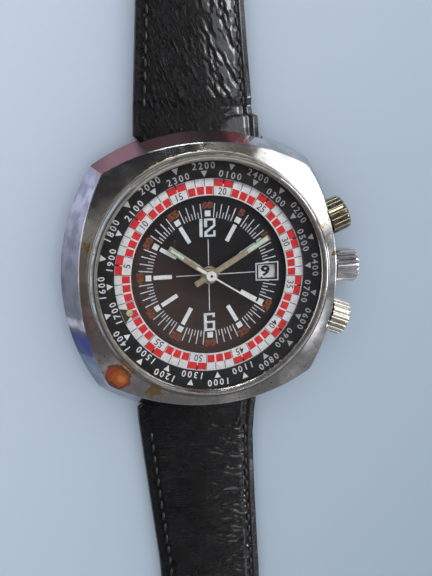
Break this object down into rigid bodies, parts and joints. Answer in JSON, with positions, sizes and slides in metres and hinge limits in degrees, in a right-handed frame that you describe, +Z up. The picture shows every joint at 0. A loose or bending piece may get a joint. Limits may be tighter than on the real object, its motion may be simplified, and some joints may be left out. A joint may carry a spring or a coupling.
{
  "type": "world time watch",
  "caption": "Cushion case wristwatch with a world time ring, a turning red and white minute ring, a date window, a fluted crown for each ring and one for the time, and a leather strap.",
  "frame": {"origin": "centre of the case back's flat resting face", "axes": "+Z up out of the dial, +Y towards 12 and along the strap, +X towards the crown at 3"},
  "size_m": [0.0454, 0.2451, 0.0105],
  "materials": {
    "polished_steel": "polished, with fine wear",
    "steel_parts": "plain turned steel",
    "gasket_rubber": "matt",
    "gasket_plastic": "translucent white",
    "crystal_glass": "clear, hairline scratches",
    "black_ring": "satin black with pale print",
    "minute_ring": "red and white print",
    "lume": "aged pale luminous paint",
    "brass_parts": "plain",
    "dial_face": "black lacquer browned with age",
    "white_frame": "gloss white",
    "date_white": "white with black numerals",
    "hand_nickel": "aged nickel",
    "hand_cream": "cream white",
    "holder_plastic": "moulded",
    "nickel_plate": "nickel plated brass",
    "ruby": "synthetic ruby",
    "black_leather": "glossy, creased"
  },
  "bodies": {
    "case": {"case_middle": "polished_steel", "case_back": "polished_steel", "case_back_gasket": "gasket_rubber", "bezel_ring": "polished_steel", "crystal": "crystal_glass", "crystal_gasket": "gasket_plastic", "ring_seat": "brass_parts", "dial": "dial_face", "date_frame": "white_frame", "hour_markers": "lume", "crown_tubes": "steel_parts", "movement_holder": "holder_plastic", "main_plate": "nickel_plate", "train_bridge": "nickel_plate", "balance_cock": "nickel_plate", "jewels": "ruby", "bridge_screws": "steel_parts", "barrel_arbor": "steel_parts", "rotor_bearing": "steel_parts", "hairspring": "steel_parts", "spring_bar_upper": "steel_parts", "spring_bar_lower": "steel_parts"},
    "world_ring": {"city_ring": "black_ring"},
    "minute_scale": {"minute_ring": "minute_ring", "zero_pip": "lume"},
    "upper_crown": {"crown_upper": "polished_steel", "upper_ring_stem": "steel_parts"},
    "lower_crown": {"crown_lower": "polished_steel", "lower_ring_stem": "steel_parts"},
    "setting_stem": {"setting_stem": "steel_parts"},
    "time_crown": {"crown_time": "polished_steel", "sliding_pinion": "steel_parts"},
    "date": {"date_disc": "date_white"},
    "hours": {"hour_hand": "hand_nickel", "hour_wheel": "brass_parts"},
    "minutes": {"minute_hand": "hand_nickel", "cannon_pinion": "steel_parts"},
    "seconds": {"seconds_hand": "hand_cream", "fourth_wheel": "brass_parts"},
    "minute_wheel": {"minute_wheel": "brass_parts"},
    "center_wheel": {"center_wheel": "brass_parts"},
    "third_wheel": {"third_wheel": "brass_parts"},
    "escape_wheel": {"escape_wheel": "steel_parts"},
    "barrel": {"barrel": "brass_parts"},
    "pallet_fork": {"pallet_fork": "steel_parts"},
    "balance": {"balance_wheel": "brass_parts"},
    "rotor": {"rotor": "nickel_plate"},
    "strap_upper": {"strap_buckle_half": "black_leather", "buckle_bar": "steel_parts", "keeper_fixed": "black_leather"},
    "strap_lower": {"strap_hole_half": "black_leather"},
    "buckle": {"buckle_frame": "polished_steel"},
    "tang": {"buckle_tang": "polished_steel"},
    "keeper": {"keeper_free": "black_leather"}
  },
  "joints": [
    {"name": "world_ring_turn", "type": "hinge", "parent": "case", "child": "world_ring", "pos_m": [0, 0, 0.007], "axis": [0, 0, 1], "continuous": true},
    {"name": "minute_scale_turn", "type": "hinge", "parent": "case", "child": "minute_scale", "pos_m": [0, 0, 0.007], "axis": [0, 0, 1], "continuous": true},
    {"name": "upper_crown_turn", "type": "hinge", "parent": "case", "child": "upper_crown", "pos_m": [0, 0, 0.0051], "axis": [0.9323, 0.3616, 0], "continuous": true},
    {"name": "lower_crown_turn", "type": "hinge", "parent": "case", "child": "lower_crown", "pos_m": [0, 0, 0.0051], "axis": [0.9323, -0.3616, 0], "continuous": true},
    {"name": "time_crown_pull", "type": "slide", "parent": "case", "child": "setting_stem", "axis": [1, 0, 0], "range_m": [0, 0.0011]},
    {"name": "time_crown_turn", "type": "hinge", "parent": "setting_stem", "child": "time_crown", "pos_m": [0, 0, 0.0051], "axis": [1, 0, 0], "continuous": true},
    {"name": "date_turn", "type": "hinge", "parent": "case", "child": "date", "pos_m": [0, 0, 0.0058], "axis": [0, 0, 1], "continuous": true},
    {"name": "minute_hand_turn", "type": "hinge", "parent": "case", "child": "minutes", "pos_m": [0, 0, 0.006], "axis": [0, 0, 1], "continuous": true},
    {"name": "hour_hand_turn", "type": "hinge", "parent": "case", "child": "hours", "pos_m": [0, 0, 0.006], "axis": [0, 0, 1], "continuous": true},
    {"name": "minute_wheel_turn", "type": "hinge", "parent": "case", "child": "minute_wheel", "pos_m": [-0.00197, -0.00138, 0.0057], "axis": [0, 0, 1], "continuous": true},
    {"name": "seconds_hand_turn", "type": "hinge", "parent": "case", "child": "seconds", "pos_m": [0, 0, 0.003], "axis": [0, 0, 1], "continuous": true},
    {"name": "third_wheel_turn", "type": "hinge", "parent": "case", "child": "third_wheel", "pos_m": [-0.00468, 0.0027, 0.0032], "axis": [0, 0, 1], "continuous": true},
    {"name": "center_wheel_turn", "type": "hinge", "parent": "case", "child": "center_wheel", "pos_m": [0, 0, 0.0039], "axis": [0, 0, 1], "continuous": true},
    {"name": "escape_wheel_turn", "type": "hinge", "parent": "case", "child": "escape_wheel", "pos_m": [0.00076, 0.00433, 0.0035], "axis": [0, 0, 1], "continuous": true},
    {"name": "barrel_turn", "type": "hinge", "parent": "case", "child": "barrel", "pos_m": [0.00509, -0.00294, 0.0035], "axis": [0, 0, 1], "continuous": true},
    {"name": "pallet_fork_swing", "type": "hinge", "parent": "case", "child": "pallet_fork", "pos_m": [0.00122, 0.00691, 0.0035], "axis": [0, 0, 1], "range_deg": [-5, 5]},
    {"name": "balance_swing", "type": "hinge", "parent": "case", "child": "balance", "pos_m": [0.00167, 0.00947, 0.003], "axis": [0, 0, 1], "range_deg": [-135, 135], "stiffness_Nm_per_rad": 0.00000003},
    {"name": "rotor_turn", "type": "hinge", "parent": "case", "child": "rotor", "pos_m": [0, 0, 0.002], "axis": [0, 0, 1], "continuous": true},
    {"name": "strap_upper_hinge", "type": "hinge", "parent": "case", "child": "strap_upper", "pos_m": [0, 0.0179, 0.0023], "axis": [1, 0, 0], "range_deg": [-75, 5]},
    {"name": "strap_lower_hinge", "type": "hinge", "parent": "case", "child": "strap_lower", "pos_m": [0, -0.0179, 0.0023], "axis": [-1, 0, 0], "range_deg": [-75, 5]},
    {"name": "buckle_hinge", "type": "hinge", "parent": "strap_upper", "child": "buckle", "pos_m": [0, 0.0967, 0.00145], "axis": [1, 0, 0], "range_deg": [-50, 50]},
    {"name": "tang_hinge", "type": "hinge", "parent": "buckle", "child": "tang", "pos_m": [0, 0.0967, 0.00145], "axis": [1, 0, 0], "range_deg": [0, 60]},
    {"name": "keeper_slide", "type": "slide", "parent": "strap_upper", "child": "keeper", "axis": [0, 1, 0], "range_m": [-0.025, 0.0085]}
  ],
  "couplings": [
    {"joint": "upper_crown_turn", "follows": "world_ring_turn", "ratio": -11},
    {"joint": "lower_crown_turn", "follows": "minute_scale_turn", "ratio": -10},
    {"joint": "hour_hand_turn", "follows": "minute_hand_turn", "ratio": 0.083333},
    {"joint": "minute_wheel_turn", "follows": "minute_hand_turn", "ratio": -0.33333},
    {"joint": "third_wheel_turn", "follows": "seconds_hand_turn", "ratio": -0.13333},
    {"joint": "center_wheel_turn", "follows": "seconds_hand_turn", "ratio": 0.016667},
    {"joint": "barrel_turn", "follows": "seconds_hand_turn", "ratio": -0.0027778},
    {"joint": "escape_wheel_turn", "follows": "seconds_hand_turn", "ratio": -10}
  ]
}
